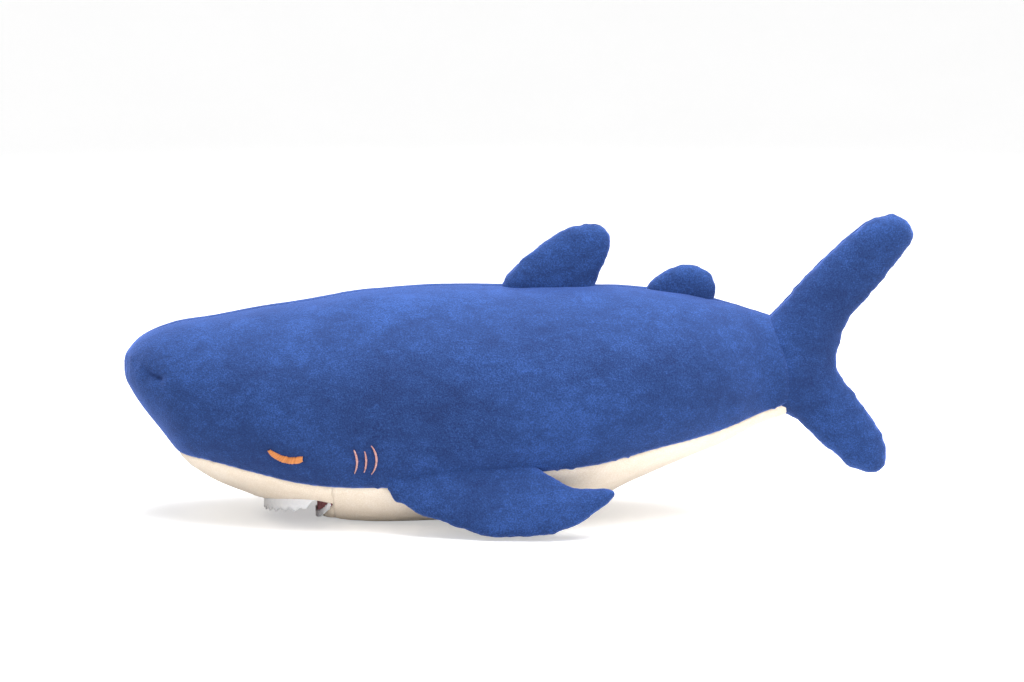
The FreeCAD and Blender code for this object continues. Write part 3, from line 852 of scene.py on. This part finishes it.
def fin_pad(name, outline, fullness, mesh, reach, ripple):
    """A stuffed fin lying in the XZ plane. fullness names the axis along which it changes, and
    gives place, half thickness and width of the rolled edge."""
    axis, rows = fullness
    edge = closed_line(outline, 2.0)
    slab = bmesh.new()
    ring = [slab.verts.new(Vector((x, -3, z)) * MM) for x, z in edge]
    face = slab.faces.new(ring)
    made = bmesh.ops.extrude_face_region(slab, geom=[face])
    bmesh.ops.translate(slab, vec=(0, 6 * MM, 0),
                        verts=[v for v in made["geom"] if isinstance(v, bmesh.types.BMVert)])
    bmesh.ops.recalc_face_normals(slab, faces=slab.faces)
    pad = even_mesh(piece_from(name, slab), mesh)
    rim = nearest_line([Vector((x, 0, z)) * MM for x, z in closed_line(outline, 0.5)])
    for vert in pad.data.vertices:
        gap = rim.find(Vector((vert.co.x, 0, vert.co.z)))[2] / MM
        half, roll = smooth_line(rows, (vert.co.x if axis == "x" else vert.co.z) / MM)[0]
        crown = half * math.sqrt(max(0, 1 - (1 - min(gap / roll, 1)) ** 2))
        vert.co.y = max(-1, min(1, vert.co.y / (2.6 * MM))) * max(crown, 0.4) * MM
    held = [v.index for v in pad.data.vertices
            if rim.find(Vector((v.co.x, 0, v.co.z)))[2] < 1.3 * mesh * MM]
    finer(stuffed(pad, held, reach, pressure=6.0))
    shape = bmesh.new()
    shape.from_mesh(pad.data)
    bpy.data.objects.remove(pad)
    bmesh.ops.bisect_plane(shape, geom=shape.verts[:] + shape.edges[:] + shape.faces[:],
                           dist=0.0002, plane_co=(0, 0, 0), plane_no=(0, 1, 0))
    shade = shape.verts.layers.float.new("seam_painted_shade")
    for vert in shape.verts:
        flat = rim.find(Vector((vert.co.x, 0, vert.co.z)))[2] / MM
        gap = math.hypot(flat, vert.co.y / MM)
        gather = noise.noise(vert.co * 130) * 0.7 + noise.noise(vert.co * 300) * 0.3
        lump = noise.noise(vert.co * 45) * 0.8
        sink = 0.9 * math.exp(-(gap / 1.4) ** 2)
        # Painted shade: darker along the rim seam, where the two panels dip together.
        vert[shade] = math.exp(-(gap / 1.3) ** 2)
        vert.co += vert.normal * MM * (
            ripple * gather * math.exp(-(gap / 8) ** 2) + lump * min(1, flat / 10) - sink
        )
    return shape


def fin_pieces(name, shape, place, body, start, end, panels, stuffing):
    """Part the fin into its two panels and its filling, and let them bend at the root."""
    bmesh.ops.transform(shape, matrix=place, verts=shape.verts)
    if place.determinant() < 0:
        bmesh.ops.reverse_faces(shape, faces=shape.faces)
    shape.normal_update()
    inward = place.inverted()
    core = shape.copy()
    for vert in core.verts:
        vert.co -= vert.normal * FILLING_INSET * MM
    made = [(piece_from(name + "_filling", core), filling_cloud, "polyester_filling", stuffing)]
    for side, (word, node) in zip((-1, 1), panels):
        half = shape.copy()
        spare = [f for f in half.faces if (inward @ f.calc_center_median()).y * side < 0]
        bmesh.ops.delete(half, geom=spare, context="FACES")
        bmesh.ops.solidify(half, geom=half.faces, thickness=FIN_FABRIC * MM)
        bmesh.ops.recalc_face_normals(half, faces=half.faces)
        made.append((piece_from("%s_%s_panel" % (name, word), half), navy_plush,
                     "navy_plush", node))
    shape.free()
    for piece, material, slot, node in made:
        piece.data.materials.append(material)
        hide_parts(node)
        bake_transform(piece, "torso", body, start=start, end=end)


AS_DRAWN = Matrix.Identity(4)

DORSAL_FIN = [
    (-17, 168), (-15.6, 175), (-8, 188), (7, 202), (22, 212.5), (34, 220), (45, 223),
    (60, 222.4), (66, 218.6), (68.4, 211), (67, 201), (62.5, 190), (58, 180.5), (57, 168),
]
fin_pieces(
    "dorsal_fin",
    fin_pad("dorsal_fin", DORSAL_FIN, ("z", [(165, 10, 13), (200, 9.5, 14), (224, 8, 11)]),
            mesh=2.4, reach=2.0, ripple=1.3),
    AS_DRAWN, "dorsal_fin", (24 * MM, 0, 176 * MM), (24 * MM, 0, 196 * MM),
    (("left", "dorsal_fin_panel_left"), ("right", "dorsal_fin_panel_right")),
    "dorsal_fin_stuffing",
)

REAR_DORSAL_FIN = [
    (94, 162), (95, 175), (102, 183), (113, 190), (126, 193), (136, 191), (144, 186),
    (148, 178), (147.5, 168), (146, 158),
]
fin_pieces(
    "rear_dorsal_fin",
    fin_pad("rear_dorsal_fin", REAR_DORSAL_FIN, ("z", [(155, 8, 11), (180, 7.5, 11), (194, 6, 9)]),
            mesh=2.2, reach=1.6, ripple=1.1),
    AS_DRAWN, "rear_dorsal_fin", (121 * MM, 0, 168 * MM), (124 * MM, 0, 187 * MM),
    (("left", "rear_dorsal_fin_panel_left"), ("right", "rear_dorsal_fin_panel_right")),
    "rear_dorsal_fin_stuffing",
)

TAIL_FIN = [
    (180, 146), (190, 155), (204, 171), (219, 188), (234, 203), (249, 216), (260, 225),
    (271.5, 230), (284, 231), (293, 226), (297, 219), (296, 209), (291, 202), (282, 190),
    (272.5, 178), (264, 167.5), (254, 156), (247, 144), (243, 131), (242, 113), (246, 105),
    (255, 94), (265, 80), (273, 69), (279, 57), (281, 45), (278, 35), (269, 31), (260, 33),
    (251, 36.5), (243, 43.5), (229, 54.5), (220.5, 63), (212.5, 71), (203.5, 77), (182, 82),
    (178, 114),
]
fin_pieces(
    "tail_fin",
    fin_pad("tail_fin", TAIL_FIN,
            ("x", [(176, 24, 36), (200, 20.5, 36), (222, 16.5, 28), (245, 14, 20), (300, 11, 17)]),
            mesh=3.0, reach=2.4, ripple=1.2),
    AS_DRAWN, "tail", (204 * MM, 0, 115 * MM), (246 * MM, 0, 115 * MM),
    (("left", "tail_fin_panel_left"), ("right", "tail_fin_panel_right")), "tail_fin_stuffing",
)

# along the root, and away from the body
PECTORAL_FIN = [
    (0, -9), (2, 0), (6, 8.9), (12.5, 12.6), (20.8, 19.4), (38.7, 28), (57.9, 36.8), (74.4, 43.7),
    (96.4, 45.6), (122.3, 45.7), (139.7, 40.7), (157, 31.5), (166.3, 25.5), (170.6, 20),
    (165.8, 16.4), (156.3, 14.7), (141.6, 13.2), (129.7, 6.7), (117, -3), (108, -9),
]
ROOT_FRONT, ROOT_REAR = Vector((-100.5, -76.6, 34.3)), Vector((14.3, -79.8, 47))
DROOP = Vector((0.091, -0.384, -0.919))    # the way the fin hangs from its root
ROOT_MIDDLE = 60

root_line = (ROOT_REAR - ROOT_FRONT).normalized()
outward = DROOP.cross(root_line).normalized()
for side, word in ((-1, "left"), (1, "right")):
    columns = [Vector((v.x, -side * v.y, v.z))
               for v in (root_line, outward, DROOP, ROOT_FRONT * MM)]
    place = Matrix([[c[row] for c in columns] for row in range(3)] + [[0, 0, 0, 1]])
    root = place @ (Vector((ROOT_MIDDLE, 0, 0)) * MM)
    span = columns[2] * MM
    fin_pieces(
        "pectoral_fin_" + word,
        fin_pad("pectoral_" + word, PECTORAL_FIN,
                ("z", [(-10, 8, 11), (15, 8.5, 13), (46, 7, 12)]),
                mesh=2.4, reach=2.2, ripple=1.2),
        place, "pectoral_fin_" + word, root - span * 6, root + span * 15,
        (("inner", "pectoral_%s_inner_panel" % word), ("outer", "pectoral_%s_outer_panel" % word)),
        "pectoral_%s_stuffing" % word,
    )


# ---------------------------------------------------------------------------------------------
# Body filling: loose polyester fibre, pushed in through the hole in the right flank. It fills
# the cover and goes round the mouth's pocket.
# ---------------------------------------------------------------------------------------------

WAD_INSET, WAD_MESH, WAD_LUMP = 5.0, 5, 0.7
WAD_END = 176                      # the filling stops short of the tail's seam
POCKET_MARGIN = 3

wad = body_form("body_filling", WAD_INSET)
pocket_room = bmesh.new()
bmesh.ops.create_grid(pocket_room, x_segments=32, y_segments=6, size=1)
for vert in pocket_room.verts:
    spot = crescent_point(vert.co.x, (vert.co.y + 1) / 2, -POCKET_MARGIN)
    vert.co = Vector((spot.x, spot.y, -0.01))
made = bmesh.ops.extrude_face_region(pocket_room, geom=pocket_room.faces[:])
bmesh.ops.translate(pocket_room, vec=(0, 0, 0.01 + (POCKET_ROOF + 4) * MM),
                    verts=[v for v in made["geom"] if isinstance(v, bmesh.types.BMVert)])
bmesh.ops.remove_doubles(pocket_room, verts=pocket_room.verts, dist=0.0002)
bmesh.ops.recalc_face_normals(pocket_room, faces=pocket_room.faces)
pocket_room = piece_from("pocket_room", pocket_room)
room = wad.modifiers.new("room_for_mouth", "BOOLEAN")
room.object = pocket_room
room.operation = "DIFFERENCE"
wad = even_mesh(settled(wad), WAD_MESH)
bpy.data.objects.remove(pocket_room)
shape = bmesh.new()
shape.from_mesh(wad.data)
bmesh.ops.bisect_plane(shape, geom=shape.verts[:] + shape.edges[:] + shape.faces[:],
                       plane_co=(WAD_END * MM, 0, 0), plane_no=(1, 0, 0), clear_outer=True)
bmesh.ops.holes_fill(shape, edges=[e for e in shape.edges if e.is_boundary])
for vert in shape.verts:
    vert.co += vert.normal * noise.noise(vert.co * 60) * WAD_LUMP * MM
shape.to_mesh(wad.data)
shape.free()
wad.data.materials.append(filling_cloud)
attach(wad, "torso")
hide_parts("body_stuffing")


# ---------------------------------------------------------------------------------------------
# Studio: a round pale floor whose rim curves up into a low wall, and large soft lights above and
# in front.
# ---------------------------------------------------------------------------------------------

FLOOR_RADIUS, WALL_BEND = 3.2, 1.5 # metres
FLOOR_GLOW = 0.45                  # keeps the paper white to the eye, lighting nothing
ROOM_LIGHT = 0.54

paper_bowl = bmesh.new()
bmesh.ops.create_circle(paper_bowl, cap_ends=True, segments=96, radius=FLOOR_RADIUS)
rim = paper_bowl.edges[:]
for step in range(1, 13):
    turn = math.radians(90 * step / 12)
    made = bmesh.ops.extrude_edge_only(paper_bowl, edges=rim)
    rim = [item for item in made["geom"] if isinstance(item, bmesh.types.BMEdge)]
    for vert in (item for item in made["geom"] if isinstance(item, bmesh.types.BMVert)):
        out = vert.co.xy.normalized() * (FLOOR_RADIUS + WALL_BEND * math.sin(turn))
        vert.co = Vector((out.x, out.y, WALL_BEND * (1 - math.cos(turn))))
backdrop = piece_from("backdrop", paper_bowl)
paper = bpy.data.materials.new("white_paper")
paper.use_nodes = True
paper_tree = paper.node_tree
paper_place = paper_tree.nodes.new("ShaderNodeTexCoord").outputs["Object"]
paper_tone = tint_node(paper_tree, noise_node(paper_tree, paper_place, 4, 2),
                       dye("dcdcdc"), dye("e1e1e1"))
paper_surface = paper_tree.nodes["Principled BSDF"]
paper_surface.inputs["Roughness"].default_value = 0.9
paper_surface.inputs["Emission Color"].default_value = (1, 1, 1, 1)
glow = paper_tree.nodes.new("ShaderNodeMath")
glow.operation = "MULTIPLY"
glow.inputs[1].default_value = FLOOR_GLOW
joined(paper_tree, (paper_tone, paper_surface.inputs["Base Color"]),
       (paper_tree.nodes.new("ShaderNodeLightPath").outputs["Is Camera Ray"], glow.inputs[0]),
       (glow.outputs[0], paper_surface.inputs["Emission Strength"]))
backdrop.data.materials.append(paper)


def soft_light(name, size, power, spot, target):
    lamp = bpy.data.lights.new(name, "AREA")
    lamp.size = size
    lamp.energy = power
    light = bpy.data.objects.new(name, lamp)
    scene.collection.objects.link(light)
    light.location = spot
    light.rotation_euler = (Vector(target) - Vector(spot)).to_track_quat("-Z", "Y").to_euler()


soft_light("overhead", size=1.8, power=90, spot=(0.35, -0.1, 1.8), target=(0.05, 0, 0.1))
soft_light("front", size=1.6, power=8, spot=(1.4, -2.3, 0.9), target=(0.05, 0, 0.1))
soft_light("low_front", size=1.6, power=6, spot=(0.5, -2.6, 0.3), target=(0, 0, 0.02))
room_air = bpy.data.worlds.new("room")
room_air.use_nodes = True
room_air.node_tree.nodes["Background"].inputs["Color"].default_value = (1, 1, 1, 1)
room_air.node_tree.nodes["Background"].inputs["Strength"].default_value = ROOM_LIGHT
scene.world = room_air
scene.view_settings.view_transform = "Standard"
